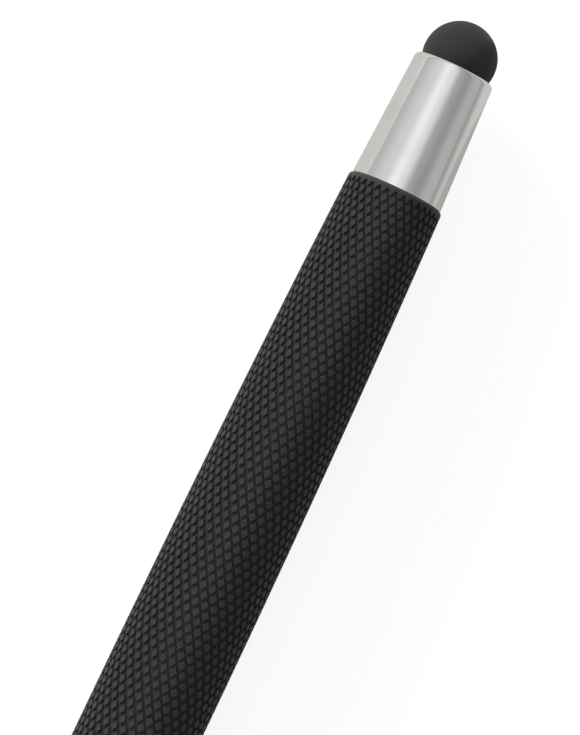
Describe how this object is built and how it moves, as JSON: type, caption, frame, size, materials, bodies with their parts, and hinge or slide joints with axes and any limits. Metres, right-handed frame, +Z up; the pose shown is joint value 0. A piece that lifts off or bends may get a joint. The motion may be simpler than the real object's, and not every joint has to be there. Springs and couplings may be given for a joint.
{
  "type": "stylus pen",
  "caption": "Twist-action ballpoint pen with a soft stylus dome in a metal ferrule, diamond-textured rubber grip sleeves, a centre ring and a retracting slim refill.",
  "frame": {"origin": "on the surface that the pen lies on, under the middle of its length", "axes": "+X along the pen towards the stylus dome, +Y across it, +Z up"},
  "size_m": [0.1402, 0.011, 0.011],
  "materials": {
    "grip_rubber": "black moulded rubber, matte, with a raised diamond texture",
    "dome_rubber": "smooth matte black conductive silicone",
    "ferrule_metal": "finely turned and polished aluminium, bright silver",
    "bright_metal": "turned, polished and chrome-plated, bright silver",
    "brass": "plain drawn brass",
    "acetal": "natural white acetal, satin",
    "nylon": "black nylon, satin",
    "seal_rubber": "black nitrile rubber",
    "steel": "ground steel",
    "point_metal": "turned nickel silver",
    "ball_metal": "polished tungsten carbide"
  },
  "bodies": {
    "lower_barrel": {"lower_grip_sleeve": "grip_rubber", "lower_tube": "brass", "nose_cone": "bright_metal", "centre_ring": "bright_metal", "guide_tube": "brass", "thrust_washer": "nylon", "friction_ring": "seal_rubber", "retaining_clip": "steel"},
    "upper_barrel": {"upper_grip_sleeve": "grip_rubber", "upper_tube": "brass", "stylus_ferrule": "ferrule_metal", "stylus_tip": "dome_rubber", "tip_plug": "brass", "cam_sleeve": "acetal", "bearing_bush": "acetal"},
    "refill": {"refill_tube": "brass", "refill_collar": "acetal", "point_socket": "point_metal", "plunger": "acetal", "cross_pin": "steel"},
    "ball": {"writing_ball": "ball_metal"}
  },
  "joints": [
    {"name": "barrel_twist", "type": "hinge", "parent": "lower_barrel", "child": "upper_barrel", "pos_m": [-0.00792, 0, 0.0055], "axis": [1, 0, 0], "range_deg": [0, 180]},
    {"name": "refill_slide", "type": "slide", "parent": "lower_barrel", "child": "refill", "axis": [-1, 0, 0], "range_m": [0, 0.005]},
    {"name": "ball_roll", "type": "hinge", "parent": "refill", "child": "ball", "pos_m": [-0.06842, 0, 0.0055], "axis": [0, 1, 0], "continuous": true}
  ],
  "couplings": [
    {"joint": "barrel_twist", "follows": "refill_slide", "rad_per_m": 628.32}
  ]
}
